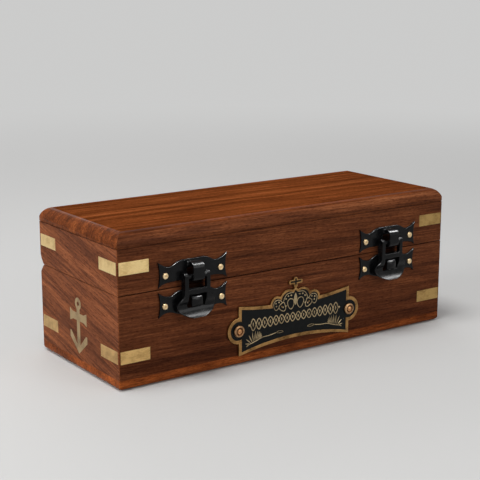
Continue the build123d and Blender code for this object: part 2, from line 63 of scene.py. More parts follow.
def addCamera():
    turn = Vector(viewpoint["looks"]).to_track_quat("-Z", "Y").to_euler()
    bpy.ops.object.camera_add(location=viewpoint["place"], rotation=turn)
    camera = bpy.context.object
    camera.name = "viewCamera"
    camera.data.lens = viewpoint["lens"]
    camera.data.sensor_width = viewpoint["sensor"]
    camera.data.clip_start = viewpoint["nearest"]
    bpy.context.scene.camera = camera


# Material helpers


def srgb(red, green, blue):
    def linear(level):
        level /= 255
        return level / 12.92 if level <= 0.04045 else ((level + 0.055) / 1.055) ** 2.4

    return (linear(red), linear(green), linear(blue), 1)


def newMaterial(name):
    material = bpy.data.materials.new(name)
    material.use_nodes = True
    tree = material.node_tree
    return material, tree, tree.nodes["Principled BSDF"]


def addNode(tree, kind, **settings):
    node = tree.nodes.new("ShaderNode" + kind)
    for name, value in settings.items():
        setattr(node, name, value)
    return node


def feed(tree, value, socket):
    if isinstance(value, bpy.types.NodeSocket):
        tree.links.new(value, socket)
    else:
        socket.default_value = value


def calc(tree, operation, first, second=0.0):
    node = addNode(tree, "Math", operation=operation)
    feed(tree, first, node.inputs[0])
    feed(tree, second, node.inputs[1])
    return node.outputs[0]


def graded(tree, pattern, low, rise):
    return calc(tree, "ADD", calc(tree, "MULTIPLY", pattern, rise), low)


def noise(tree, spot, scale, detail, roughness=0.5, distortion=0.0, dimensions="3D"):
    node = addNode(tree, "TexNoise", noise_dimensions=dimensions)
    feed(tree, spot, node.inputs["W" if dimensions == "1D" else "Vector"])
    feed(tree, scale, node.inputs["Scale"])
    feed(tree, detail, node.inputs["Detail"])
    feed(tree, roughness, node.inputs["Roughness"])
    feed(tree, distortion, node.inputs["Distortion"])
    return node.outputs["Fac"]


def mapped(tree, spot, scale, move=(0, 0, 0), turn=(0, 0, 0)):
    node = addNode(tree, "Mapping")
    feed(tree, spot, node.inputs["Vector"])
    feed(tree, scale, node.inputs["Scale"])
    feed(tree, move, node.inputs["Location"])
    feed(tree, [math.radians(angle) for angle in turn], node.inputs["Rotation"])
    return node.outputs[0]


def ramp(tree, factor, stops):
    node = addNode(tree, "ValToRGB")
    marks = node.color_ramp.elements
    while len(marks) < len(stops):
        marks.new(0.5)
    for element, (position, colour) in zip(marks, stops):
        element.position = position
        element.color = colour
    feed(tree, factor, node.inputs["Fac"])
    return node.outputs["Color"]


def washed(tree, amount, colour, wash):
    node = addNode(tree, "Mix", data_type="RGBA", blend_type="MULTIPLY")
    feed(tree, amount, node.inputs[0])
    feed(tree, colour, node.inputs[6])
    feed(tree, wash, node.inputs[7])
    return node.outputs[2]


def grey(level):
    return (level, level, level, 1)


def bumpFrom(tree, height, distance, strength):
    node = addNode(tree, "Bump")
    feed(tree, strength, node.inputs["Strength"])
    feed(tree, distance * mm, node.inputs["Distance"])
    feed(tree, height, node.inputs["Height"])
    return node.outputs[0]


def millimetres(tree):
    spot = addNode(tree, "TexCoord").outputs["Object"]
    return mapped(tree, spot, (1 / mm, 1 / mm, 1 / mm))


def coordinates(tree, spot):
    node = addNode(tree, "SeparateXYZ")
    feed(tree, spot, node.inputs[0])
    return node.outputs


# Rosewood: each board is its own cut out of a log, with its grain along the board

rosewood = {
    "tones": [
        (0.35, srgb(66, 36, 19)),
        (0.45, srgb(92, 51, 27)),
        (0.55, srgb(116, 66, 35)),
        (0.67, srgb(146, 89, 50)),
    ],
    "rings": {"spacing": 9.0, "waver": 14.0, "shift": 50, "detail": 2.0},  # mm
    "shares": (0.28, 0.34, 0.38),  # rings, streaks, fibres
    "coarseness": 0.55,
    "grain": {  # mm across the board, stretch along it, detail and shift
        "waver": (30, 0.14, 2, 83),
        "streaks": (2.2, 0.06, 3, 17),
        "fibres": (0.7, 0.03, 2, 31),
        "smoke": (4.5, 0.045, 3, 47),
        "fleck": (0.55, 0.3, 2, 61),
        "pores": (0.42, 0.14, 1, 5),
        "warmth": (28, 0.35, 2, 3),
    },
    "washes": [  # grain, strength, and the colours laid over the tones
        ("smoke", 0.75, [(0.55, (1, 1, 1, 1)), (0.74, (0.56, 0.53, 0.52, 1))]),
        ("fleck", 1.0, [(0.40, (0.88, 0.86, 0.86, 1)), (0.62, (1.12, 1.12, 1.12, 1))]),
        ("pores", 0.7, [(0.57, (1, 1, 1, 1)), (0.66, (0.42, 0.36, 0.34, 1))]),
        ("warmth", 0.8, [(0.32, (0.86, 0.81, 0.80, 1)), (0.68, (1.14, 1.08, 1.0, 1))]),
    ],
    "roughness": (0.31, 0.14),  # lowest, and what the fibres add
    "shine": 0.025,
    "poreDepth": 0.6,  # as a share of a fibre's height
    "relief": (0.1, 0.5),  # mm and strength
}
# shade tints each board: partly its own tone, partly painted light and shade, lighter and paler on the left
# end, darker on the front and top
boards = {  # turn takes the grain to x; pith is where the log's heart lies
    "frontWood": {"turn": (0, -1.5, 0), "pith": (30, -10, 60), "shade": (0.88, 0.92, 1.15), "seed": 1.3},
    "backWood": {"turn": (0, 1.0, 0), "pith": (-20, -90, -15), "shade": (0.92, 0.88, 0.86), "seed": 4.7},
    "leftEndWood": {"turn": (-13, 0, 90), "pith": (0, 60, 35), "shade": (1.28, 1.36, 1.75), "seed": 7.1},
    "rightEndWood": {"turn": (5, 0, 90), "pith": (0, 70, -60), "shade": (1.05, 1.0, 0.98), "seed": 9.9},
    "topWood": {"turn": (0, 0, 1.5), "pith": (0, 95, -75), "shade": (0.96, 0.85, 0.76), "seed": 12.4},
    "bottomWood": {"turn": (0, 0, -4), "pith": (0, -45, 40), "shade": (1.65, 1.38, 1.05), "seed": 15.2},
}
lowFrontShade = {"heights": (8, 38), "colour": (0.66, 0.60, 0.56, 1)}  # painted shade, darker low on the front, mm
latchShade = {  # painted shade in the slots and windows behind the latches; mm, x and z of its middle, and how far it spreads
    "spot": (65.5, 47.0),
    "size": (8.5, 14.0),
    "fade": (0.15, 0.6),  # from all of it to none
    "face": -42.2,  # only on what lies in front of this
    "colour": (0.10, 0.09, 0.09, 1),
}


# painted shade: the wood darkens behind the latches
def shadeBehindLatches(tree, spot):
    def fourthPower(level, middle, size):
        share = calc(tree, "DIVIDE", calc(tree, "SUBTRACT", level, middle), size)
        return calc(tree, "POWER", calc(tree, "ABSOLUTE", share), 4)

    across, up = latchShade["spot"]
    wide, tall = latchShade["size"]
    full, gone = latchShade["fade"]
    sideways = fourthPower(calc(tree, "ABSOLUTE", spot[0]), across, wide)
    upward = fourthPower(spot[2], up, tall)
    spread = ramp(tree, calc(tree, "ADD", sideways, upward), [(full, grey(1)), (gone, grey(0))])
    return calc(tree, "MULTIPLY", spread, calc(tree, "LESS_THAN", spot[1], latchShade["face"]))


def shadedLow(tree, spot):
    low, high = lowFrontShade["heights"]
    share = calc(tree, "DIVIDE", calc(tree, "SUBTRACT", spot[2], low), high - low)
    return ramp(tree, share, [(0, lowFrontShade["colour"]), (1, grey(1))])


def rosewoodMaterial(name, cut, shine=rosewood["shine"]):
    material, tree, shader = newMaterial(name)
    log = mapped(tree, millimetres(tree), (1, 1, 1), cut["pith"], cut["turn"])
    grain = {}
    for layer, (across, stretch, detail, shift) in rosewood["grain"].items():
        drawn = mapped(tree, log, (stretch, 1, 1), (cut["seed"] * shift, 0, 0))
        grain[layer] = noise(tree, drawn, 1 / across, detail, rosewood["coarseness"])
    growth = rosewood["rings"]
    squares = [calc(tree, "MULTIPLY", side, side) for side in coordinates(tree, log)[1:]]
    radius = calc(tree, "SQRT", calc(tree, "ADD", *squares))
    radius = calc(tree, "ADD", radius, calc(tree, "MULTIPLY", grain["waver"], growth["waver"]))
    radius = calc(tree, "ADD", radius, cut["seed"] * growth["shift"])
    rings = noise(tree, radius, 1 / growth["spacing"], growth["detail"], dimensions="1D")
    mixed = 0.0
    for layer, share in zip((rings, grain["streaks"], grain["fibres"]), rosewood["shares"]):
        mixed = calc(tree, "ADD", mixed, calc(tree, "MULTIPLY", layer, share))
    colour = ramp(tree, mixed, rosewood["tones"])
    for layer, amount, stops in rosewood["washes"]:
        colour = washed(tree, amount, colour, ramp(tree, grain[layer], stops))
    # each board's tint, partly painted light and shade
    colour = washed(tree, 1.0, colour, (*cut["shade"], 1))
    if name == "frontWood":
        spot = coordinates(tree, millimetres(tree))
        # painted shade, darker towards the bottom of the front
        colour = washed(tree, 1.0, colour, shadedLow(tree, spot))
        # painted shade behind the latches, dark where their slots and windows show the wood
        colour = washed(tree, shadeBehindLatches(tree, spot), colour, latchShade["colour"])
    feed(tree, colour, shader.inputs["Base Color"])
    feed(tree, graded(tree, grain["fibres"], *rosewood["roughness"]), shader.inputs["Roughness"])
    feed(tree, shine, shader.inputs["Specular IOR Level"])
    pits = calc(tree, "MULTIPLY", grain["pores"], rosewood["poreDepth"])
    relief = calc(tree, "SUBTRACT", grain["fibres"], pits)
    feed(tree, bumpFrom(tree, relief, *rosewood["relief"]), shader.inputs["Normal"])
    return material


# Metals, enamel and velvet

metals = {  # blotch is how strongly the tarnish shows
    "inlayBrass": {"dark": srgb(204, 166, 106), "light": srgb(246, 216, 154), "rough": 0.30, "blotch": 0.5},
    # painted shade: the two below are darker copies of the strips' brass, for light that falls off to the
    # bottom and right
    "halfShadedBrass": {"dark": srgb(166, 130, 78), "light": srgb(216, 178, 116), "rough": 0.32, "blotch": 0.6},
    "shadedBrass": {"dark": srgb(132, 102, 58), "light": srgb(180, 148, 92), "rough": 0.34, "blotch": 0.6},
    "anchorBrass": {"dark": srgb(130, 108, 76), "light": srgb(182, 156, 114), "rough": 0.34, "blotch": 0.7},
    "nailBrass": {"dark": srgb(194, 164, 122), "light": srgb(234, 212, 170), "rough": 0.38, "blotch": 0.5},
    "plateBrass": {"dark": srgb(98, 70, 40), "light": srgb(170, 130, 80), "rough": 0.30, "blotch": 0.8},
    "paleBrass": {"dark": srgb(122, 106, 80), "light": srgb(180, 160, 124), "rough": 0.36, "blotch": 0.7},
    "copperyBrass": {"dark": srgb(138, 102, 72), "light": srgb(190, 152, 112), "rough": 0.34, "blotch": 0.6},
    "hingeBrass": {"dark": srgb(158, 124, 62), "light": srgb(216, 182, 104), "rough": 0.24, "blotch": 0.5},
}
tarnish = {
    "clouds": (0.16, 3.0, 0.55),  # scale, detail and roughness
    "scuffs": (3.0, 2.0),
    "scuffsDrawn": ((0.2, 1, 1), (7, 3, 1), (20, 8, 30)),  # stretch, place and turn
    "scuffShare": 0.3,
    "spread": (0.16, 0.05),  # from the middle down to the dark tone, and up to the light one
    "roughness": (0.1, -0.16),  # on top of each metal's own, and by the tarnish
    "relief": (0.03, 0.3),  # mm and strength
}
nailRings = {  # colour by the share of the way out from the nail's centre: darker at the centre, in the groove and at the rim
    "nailBrass": [
        (0.30, (0.90, 0.78, 0.64, 1)),
        (0.55, (1, 1, 1, 1)),
        (0.88, (1, 1, 1, 1)),
        (1.0, (0.6, 0.5, 0.4, 1)),
    ],
    "copperyBrass": [
        (0.40, (1.1, 0.92, 0.78, 1)),
        (0.50, (0.30, 0.20, 0.14, 1)),
        (0.60, (0.30, 0.20, 0.14, 1)),
        (0.68, (1, 1, 1, 1)),
        (0.90, (1, 1, 1, 1)),
        (1.0, (0.6, 0.5, 0.4, 1)),
    ],
}


def brassMaterial(name, look):
    material, tree, shader = newMaterial(name)
    spot = millimetres(tree)
    clouds = noise(tree, spot, *tarnish["clouds"])
    scuffs = noise(tree, mapped(tree, spot, *tarnish["scuffsDrawn"]), *tarnish["scuffs"])
    blotch = calc(tree, "MULTIPLY", clouds, look["blotch"])
    both = calc(tree, "ADD", blotch, calc(tree, "MULTIPLY", scuffs, tarnish["scuffShare"]))
    middle = (look["blotch"] + tarnish["scuffShare"]) / 2
    down, up = tarnish["spread"]
    colour = ramp(tree, both, [(middle - down, look["dark"]), (middle + up, look["light"])])
    if name in nailRings:
        reach = addNode(tree, "Attribute", attribute_name="reach").outputs["Fac"]
        colour = washed(tree, 1.0, colour, ramp(tree, reach, nailRings[name]))
    feed(tree, colour, shader.inputs["Base Color"])
    feed(tree, 1.0, shader.inputs["Metallic"])
    dulled, polished = tarnish["roughness"]
    feed(tree, graded(tree, both, look["rough"] + dulled, polished), shader.inputs["Roughness"])
    feed(tree, bumpFrom(tree, scuffs, *tarnish["relief"]), shader.inputs["Normal"])
    return material


blackPaint = {
    "patches": (0.18, 4.0, 0.6),  # scale, detail and roughness
    "ripples": (0.9, 3.0, 0.55),
    "tones": [(0.4, srgb(5, 5, 6)), (0.75, srgb(15, 15, 16))],
    "roughness": (0.14, 0.2),  # lowest, and what the patches add
    "shine": 0.16,
    "relief": (0.015, 0.5),  # mm and strength
}
blackEnamel = {
    "patches": (0.3, 4.0, 0.6),
    "ripples": (2.2, 2.0),
    "tones": [(0.3, srgb(4, 6, 7)), (0.8, srgb(15, 17, 16))],
    "roughness": (0.26, 0.2),
    "shine": 0.12,
    "relief": (0.02, 0.4),
}
redVelvet = {
    "brushed": (0.05, 4.0, 0.6, 0.8),  # scale, detail, roughness and distortion
    "drawn": (1, 0.6, 0.6),
    "pile": (2.6, 2.0),
    "tones": [(0.3, srgb(66, 5, 16)), (0.52, srgb(92, 9, 24)), (0.75, srgb(112, 18, 34))],
    "depth": [(0.3, grey(0.6)), (0.7, grey(1.1))],
    "depthShown": 0.7,
    "relief": (0.2, 0.6),
    "surface": {
        "Roughness": 0.92,
        "Specular IOR Level": 0.15,
        "Sheen Weight": 0.55,
        "Sheen Roughness": 0.4,
        "Sheen Tint": srgb(220, 90, 110),
    },
}
plainPine = {
    "grain": (0.8, 3.0),
    "drawn": (1, 0.06, 1),
    "tones": [(0.3, srgb(150, 118, 80)), (0.7, srgb(196, 164, 120))],
    "roughness": 0.6,
}


def glossyBlack(name, look):
    material, tree, shader = newMaterial(name)
    spot = millimetres(tree)
    patchy = noise(tree, spot, *look["patches"])
    feed(tree, ramp(tree, patchy, look["tones"]), shader.inputs["Base Color"])
    feed(tree, graded(tree, patchy, *look["roughness"]), shader.inputs["Roughness"])
    feed(tree, look["shine"], shader.inputs["Specular IOR Level"])
    uneven = noise(tree, spot, *look["ripples"])
    feed(tree, bumpFrom(tree, uneven, *look["relief"]), shader.inputs["Normal"])
    return material


def velvetMaterial():
    material, tree, shader = newMaterial("redVelvet")
    spot = millimetres(tree)
    brushed = noise(tree, mapped(tree, spot, redVelvet["drawn"]), *redVelvet["brushed"])
    pile = noise(tree, spot, *redVelvet["pile"])
    colour = ramp(tree, brushed, redVelvet["tones"])
    depth = ramp(tree, pile, redVelvet["depth"])
    feed(tree, washed(tree, redVelvet["depthShown"], colour, depth), shader.inputs["Base Color"])
    for socket, value in redVelvet["surface"].items():
        feed(tree, value, shader.inputs[socket])
    feed(tree, bumpFrom(tree, pile, *redVelvet["relief"]), shader.inputs["Normal"])
    return material


def cradleWoodMaterial():
    material, tree, shader = newMaterial("cradleWood")
    spot = mapped(tree, millimetres(tree), plainPine["drawn"])
    grain = noise(tree, spot, *plainPine["grain"])
    feed(tree, ramp(tree, grain, plainPine["tones"]), shader.inputs["Base Color"])
    feed(tree, plainPine["roughness"], shader.inputs["Roughness"])
    return material


# Soft studio light, and a pale floor that fades into a plain backdrop

studio = {
    "sky": (0.86, 0.87, 0.89),
    "skyStrength": 0.45,
    "floor": (0.52, 0.515, 0.505),
    "floorSize": 30.0,
    "floorHeight": -0.05 * mm,  # just under the box
    "floorRoughness": 0.8,
    "backdrop": (0.60, 0.60, 0.595),
    "fade": (0.3, 1.2),  # m from the box, where the floor starts and ends its fade
    "lamps": [  # name, place, aim, width, height, watts
        ("overhead", (-0.30, -0.05, 1.15), (0, 0, 0.05), 0.5, 0.4, 8.5),
        ("leftSide", (-1.25, 0.05, 0.55), (0, 0, 0.04), 0.6, 0.7, 8.5),
        ("front", (0.45, -1.25, 0.55), (0, 0, 0.05), 0.6, 0.5, 4.0),
        ("behind", (0.5, 1.3, 0.8), (0, 0, 0.05), 0.8, 0.4, 3.0),
    ],
    "glints": {  # the same, for highlights on the black iron alone
        "plates": [
            ("plateGlint", (-0.30, -0.20, 1.05), (0, 0, 0.05), 0.7, 0.4, 220.0),
            ("hoodGlint", (0.75, -0.40, 0.95), (0, 0, 0.05), 0.3, 0.25, 30.0),
        ],
        "hasps": [
            ("haspGlint", (-0.30, -0.20, 1.05), (0, 0, 0.05), 0.7, 0.4, 120.0),
            ("lipGlint", (0.75, -0.40, 0.95), (0, 0, 0.05), 0.4, 0.35, 12.0),
        ],
    },
}


def seenDirectly(tree):
    path = addNode(tree, "LightPath")
    rays = calc(tree, "MAXIMUM", path.outputs["Is Camera Ray"], path.outputs["Is Glossy Ray"])
    return calc(tree, "MAXIMUM", rays, path.outputs["Is Transmission Ray"])


def addWorld():
    world = bpy.data.worlds.new("studio")
    bpy.context.scene.world = world
    world.use_nodes = True
    tree = world.node_tree
    sky = tree.nodes["Background"]
    feed(tree, (*studio["sky"], 1), sky.inputs["Color"])
    feed(tree, studio["skyStrength"], sky.inputs["Strength"])
    backdrop = addNode(tree, "Background")
    feed(tree, (*studio["backdrop"], 1), backdrop.inputs["Color"])
    either = addNode(tree, "MixShader")
    feed(tree, seenDirectly(tree), either.inputs[0])
    feed(tree, sky.outputs[0], either.inputs[1])
    feed(tree, backdrop.outputs[0], either.inputs[2])
    feed(tree, either.outputs[0], tree.nodes["World Output"].inputs["Surface"])


def addFloor():
    bpy.ops.mesh.primitive_plane_add(size=studio["floorSize"], location=(0, 0, studio["floorHeight"]))
    floor = bpy.context.object
    floor.name = "studioFloor"
    material, tree, shader = newMaterial("paleFloor")
    feed(tree, (*studio["floor"], 1), shader.inputs["Base Color"])
    feed(tree, studio["floorRoughness"], shader.inputs["Roughness"])
    away = addNode(tree, "VectorMath", operation="LENGTH")
    feed(tree, addNode(tree, "TexCoord").outputs["Object"], away.inputs[0])
    fade = addNode(tree, "MapRange", interpolation_type="SMOOTHSTEP")
    feed(tree, away.outputs["Value"], fade.inputs["Value"])
    feed(tree, studio["fade"][0], fade.inputs["From Min"])
    feed(tree, studio["fade"][1], fade.inputs["From Max"])
    glow = addNode(tree, "Emission")
    feed(tree, (*studio["backdrop"], 1), glow.inputs["Color"])
    either = addNode(tree, "MixShader")
    feed(tree, calc(tree, "MULTIPLY", fade.outputs[0], seenDirectly(tree)), either.inputs[0])
    feed(tree, shader.outputs[0], either.inputs[1])
    feed(tree, glow.outputs[0], either.inputs[2])
    feed(tree, either.outputs[0], tree.nodes["Material Output"].inputs["Surface"])
    floor.data.materials.append(material)


def addLamp(name, spot, aim, width, height, watts):
    turn = (Vector(aim) - Vector(spot)).to_track_quat("-Z", "Y").to_euler()
    bpy.ops.object.light_add(type="AREA", location=spot, rotation=turn)
    lamp = bpy.context.object
    lamp.name = name + "Lamp"
    lamp.data.shape = "RECTANGLE"
    lamp.data.size = width
    lamp.data.size_y = height
    lamp.data.energy = watts
    return lamp


def addStudio():
    addWorld()
    addFloor()
    for lamp in studio["lamps"]:
        addLamp(*lamp)


def addGlints(ironwork):
    for kind, glints in studio["glints"].items():
        lit = bpy.data.collections.new(kind)
        for piece in ironwork[kind]:
            lit.objects.link(piece)
        for glint in glints:
            lamp = addLamp(*glint)
            lamp.visible_diffuse = False
            lamp.light_linking.receiver_collection = lit


addCamera()
addStudio()
woods = {name: rosewoodMaterial(name, cut) for name, cut in boards.items()}
woods["topFace"] = rosewoodMaterial("topFace", boards["topWood"], 0.0)  # rubbed dull
brasses = {name: brassMaterial(name, look) for name, look in metals.items()}
iron = glossyBlack("blackPaint", blackPaint)
enamel = glossyBlack("blackEnamel", blackEnamel)
velvet = velvetMaterial()
cradleWood = cradleWoodMaterial()
print("camera, studio and materials done")

# Modelling helpers


def deselect():
    bpy.ops.object.select_all(action="DESELECT")


def selectOnly(piece):
    deselect()
    piece.select_set(True)
    bpy.context.view_layer.objects.active = piece


def freeze():
    bpy.ops.object.transform_apply(location=True, rotation=True, scale=True)


def smoothed(piece):
    selectOnly(piece)
    bpy.ops.object.shade_smooth()
    return piece


def editing(piece):
    selectOnly(piece)
    bpy.ops.object.mode_set(mode="EDIT")
    return bmesh.from_edit_mesh(piece.data)


def pick(sheet, piece, wanted):
    for part in (*sheet.verts, *sheet.edges, *sheet.faces):
        part.select = False
    for part in wanted:
        part.select = True
    sheet.select_flush_mode()
    bmesh.update_edit_mesh(piece.data)


cadMesh = {"merge": 0.001, "flat": 0.5, "ridge": 30, "smooth": 35}  # mm, then degrees


def settle(piece):
    bpy.ops.object.mode_set(mode="OBJECT")
    selectOnly(piece)
    freeze()
    bpy.ops.object.shade_smooth_by_angle(angle=math.radians(cadMesh["smooth"]))


def applied(piece, kind, **settings):
    selectOnly(piece)
    modifier = piece.modifiers.new(kind.lower(), kind)
    for name, value in settings.items():
        setattr(modifier, name, value)
    bpy.ops.object.modifier_apply(modifier=modifier.name)


def dress(piece, material):
    piece.data.materials.clear()
    piece.data.materials.append(material)


def place(piece, material, slotName, body, *replaced):
    dress(piece, material)
    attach(piece, body)
    if replaced:
        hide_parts(*replaced)
    return piece


def bodyOf(node):
    bodies = frame["record"]["behaviour"]["bodies"]
    return next(body for body, members in bodies.items() if node in members)


def mergedCopy(node, name):
    piece = bpy.data.objects.new(name, nodes[node].data.copy())
    bpy.context.scene.collection.objects.link(piece)
    editing(piece)
    bpy.ops.mesh.select_all(action="SELECT")
    bpy.ops.mesh.remove_doubles(threshold=cadMesh["merge"] * mm)
    bpy.ops.mesh.customdata_custom_splitnormals_clear()
    bpy.ops.mesh.dissolve_limited(angle_limit=math.radians(cadMesh["flat"]))
    bpy.ops.object.mode_set(mode="OBJECT")
    return piece


def isRidge(edge):
    return edge.is_manifold and edge.calc_face_angle_signed(0) > math.radians(cadMesh["ridge"])


def easedCopy(node, name, width, wanted=None):
    piece = mergedCopy(node, name)
    sheet = editing(piece)
    ridges = [edge for edge in sheet.edges if isRidge(edge)]
    if wanted:
        ridges = [edge for edge in ridges if all(wanted(vertex.co / mm) for vertex in edge.verts)]
    pick(sheet, piece, ridges)
    bpy.ops.mesh.bevel(offset=width * mm, segments=2, affect="EDGES", clamp_overlap=False)
    settle(piece)
    applied(piece, "WEIGHTED_NORMAL", keep_sharp=True)
    return piece


# Pressed iron: rounded by its thick paint

pressedIron = {"voxel": 0.16, "rounds": 15, "keep": 0.45}
tongueCrown = {"rise": 0.7, "depth": 0.6}  # mm, how far the catch tongue's face swells


def paintedCopy(node, name):
    piece = mergedCopy(node, name)
    applied(piece, "REMESH", mode="VOXEL", voxel_size=pressedIron["voxel"] * mm)
    applied(piece, "SMOOTH", factor=0.5, iterations=pressedIron["rounds"])
    applied(piece, "DECIMATE", ratio=pressedIron["keep"])
    return smoothed(piece)


def crownTongue(plate):
    points = [vertex.co for vertex in plate.data.vertices]
    foremost = min(point.y for point in points)
    face = [point for point in points if point.y < foremost + tongueCrown["depth"] * mm]
    spans = [(min(point[axis] for point in face), max(point[axis] for point in face)) for axis in (0, 2)]
    for point in face:
        swell = tongueCrown["rise"] * mm
        for (low, high), level in zip(spans, (point.x, point.z)):
            swell *= math.sin(math.pi * (level - low) / (high - low))
        point.y -= swell


ironwork = {"plates": [], "hasps": []}
for hand in hands:
    for kind, name in (("latch_plate", "LatchPlate"), ("catch_plate", "CatchPlate"), ("hasp", "Hasp")):
        node = f"{hand}_{kind}"
        piece = paintedCopy(node, hand + name)
        if kind == "catch_plate":
            crownTongue(piece)
        ironwork["hasps" if kind == "hasp" else "plates"].append(piece)
        place(piece, iron, "black_iron", bodyOf(node), node)
addGlints(ironwork)
print("latches done")

# Wood

caseWood = {"rims": (48.55, 48.85), "near": 0.02, "longEase": 0.5, "endEase": 0.1}  # mm


def atRim(point):
    return any(abs(point.z - rim) < caseWood["near"] for rim in caseWood["rims"])


for part in ("base", "lid"):
    for side in ("front", "back", "left", "right"):
        node = f"{part}_{side}_wall"
        wood = woods[side + ("Wood" if side in ("front", "back") else "EndWood")]
        ease = caseWood["longEase" if side in ("front", "back") else "endEase"]
        piece = easedCopy(node, f"{part}{side.capitalize()}Wall", ease, atRim)
        place(piece, wood, "rosewood", part, node)
dress(nodes["base_bottom_panel"], woods["bottomWood"])

lidTop = {
    "rounds": (4.6, 7.0, 0.8),  # mm, of the edges along x, y and z
    "segments": 12,
    "flat": 0.97,  # faces that look up more than this are rubbed dull
    "steep": 0.6,  # faces that look to the front or back more than this match the walls below
}


def roundedBoard(low, high, along, radius):
    deselect()
    bpy.ops.mesh.primitive_cube_add(size=1, location=(Vector(low) + Vector(high)) / 2)
    board = bpy.context.object
    board.scale = Vector(high) - Vector(low)
    freeze()
    sheet = editing(board)
    chosen = []
    for edge in sheet.edges:
        first, second = (vertex.co for vertex in edge.verts)
        runsAlong = abs((second - first).normalized()[along]) > 0.99
        if runsAlong and (along == 2 or min(first.z, second.z) > high[2] - 0.01 * mm):
            chosen.append(edge)
    pick(sheet, board, chosen)
    bpy.ops.mesh.bevel(offset=radius * mm, segments=lidTop["segments"], affect="EDGES", clamp_overlap=False)
    bpy.ops.object.mode_set(mode="OBJECT")
    return board


def addLidTop():
    low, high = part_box("lid_top_panel")
    top, *cutters = [roundedBoard(low, high, axis, lidTop["rounds"][axis]) for axis in (1, 0, 2)]
    for cutter in cutters:
        applied(top, "BOOLEAN", object=cutter, operation="INTERSECT")
        bpy.data.objects.remove(cutter)
    top.name = "lidTopPanel"
    settle(top)
    place(top, woods["topWood"], "rosewood", "lid", "lid_top_panel")
    for wood in ("topFace", "frontWood", "backWood"):
        top.data.materials.append(woods[wood])
    for face in top.data.polygons:
        if face.normal.z > lidTop["flat"]:
            face.material_index = 1
        elif abs(face.normal.y) > lidTop["steep"]:
            face.material_index = 2 if face.normal.y < 0 else 3


addLidTop()
print("wood done")

# Brass inlay, nameplate and hinges

stripShading = {("lid", "left"): "inlayBrass", ("base", "left"): "halfShadedBrass"}  # painted shade, darker brass for the lower and right strips; the rest take the darkest
eased = {"strips": 0.12, "anchor": 0.15, "rim": 0.14, "leaves": 0.12}  # mm off the edges
for part in ("base", "lid"):
    for y in ("front", "back"):
        for hand in hands:
            node = f"{part}_strips_{y}_{hand}"
            piece = easedCopy(node, f"{part}Strips{y.capitalize()}{hand.capitalize()}", eased["strips"])
            place(piece, brasses[stripShading.get((part, hand), "shadedBrass")], "brass", part, node)
anchor = easedCopy("anchor_inlay", "anchorInlay", eased["anchor"])
place(anchor, brasses["anchorBrass"], "brass", "base", "anchor_inlay")
plateRim = easedCopy("nameplate", "nameplateRim", eased["rim"])
place(plateRim, brasses["plateBrass"], "brass", "base", "nameplate")
dress(nodes["nameplate_enamel"], enamel)
for hand in hands:
    for part in ("base", "lid"):
        node = f"{hand}_hinge_{part}_leaf"
        piece = easedCopy(node, f"{hand}Hinge{part.capitalize()}Leaf", eased["leaves"])
        place(piece, brasses["hingeBrass"], "brass", part, node)
    dress(nodes[f"{hand}_hinge_pin"], brasses["hingeBrass"])
    dress(nodes[f"{hand}_cradle_block"], cradleWood)
print("brass done")

# Brass nails: a low round head with a punched centre, on a round shank

nailShape = {"sides": 40, "rim": 0.4, "shank": 0.6, "length": 7.0}  # rim: share of the rise that is straight
nailKinds = {  # steps are insets and lifts, as shares of the radius and the rise
    "plain": {
        "radius": 1.6,
        "rise": 0.8,
        "steps": [(0.08, 0.3), (0.14, 0.2), (0.22, 0.08), (0.10, -0.02), (0.12, -0.06), (0.14, -0.03)],
    },
    "broad": {
        "radius": 3.2,
        "rise": 1.6,
        "steps": [
            (0.05, 0.2),
            (0.09, 0.1),
            (0.17, 0.04),
            (0.08, -0.28),
            (0.07, -0.05),
            (0.07, 0.22),
            (0.12, 0.2),
            (0.15, 0.1),
            (0.10, 0.03),
        ],
    },
}


def pickEnd(piece, upward):
    sheet = editing(piece)
    pick(sheet, piece, [max(sheet.faces, key=lambda face: face.calc_center_median().z * upward)])


def insetBy(amount, lift=0.0):
    bpy.ops.mesh.inset(thickness=amount * mm, depth=0, use_even_offset=True)
    bpy.ops.transform.translate(value=(0, 0, lift * mm))


def nailModel(name, kind):
    deselect()
    radius, rise = kind["radius"], kind["rise"]
    straight = rise * nailShape["rim"]
    bpy.ops.mesh.primitive_cylinder_add(
        vertices=nailShape["sides"],
        radius=radius * mm,
        depth=straight * mm,
        location=(0, 0, straight / 2 * mm),
    )
    nail = bpy.context.object
    nail.name = name
    freeze()
    pickEnd(nail, 1)
    for inset, lift in kind["steps"]:
        insetBy(inset * radius, lift * rise)
    bpy.ops.object.mode_set(mode="OBJECT")
    pickEnd(nail, -1)
    insetBy(radius - nailShape["shank"])
    bpy.ops.mesh.extrude_region_move(TRANSFORM_OT_translate={"value": (0, 0, -nailShape["length"] * mm)})
    bpy.ops.object.mode_set(mode="OBJECT")
    reach = nail.data.attributes.new("reach", "FLOAT", "POINT")
    for vertex, share in zip(nail.data.vertices, reach.data):
        share.value = math.hypot(vertex.co.x, vertex.co.y) / (radius * mm)
    return nail


def copyTo(source, name, location, rotation, scale=(1, 1, 1)):
    piece = bpy.data.objects.new(name, source.data.copy())
    bpy.context.scene.collection.objects.link(piece)
    piece.location = location
    piece.rotation_euler = rotation
    piece.scale = scale
    return piece


def joined(pieces, name, smooth=40):
    deselect()
    for piece in pieces:
        piece.select_set(True)
    bpy.context.view_layer.objects.active = pieces[0]
    freeze()
    bpy.ops.object.join()
    whole = bpy.context.object
    whole.name = name
    bpy.ops.object.shade_smooth_by_angle(angle=math.radians(smooth))
    return whole


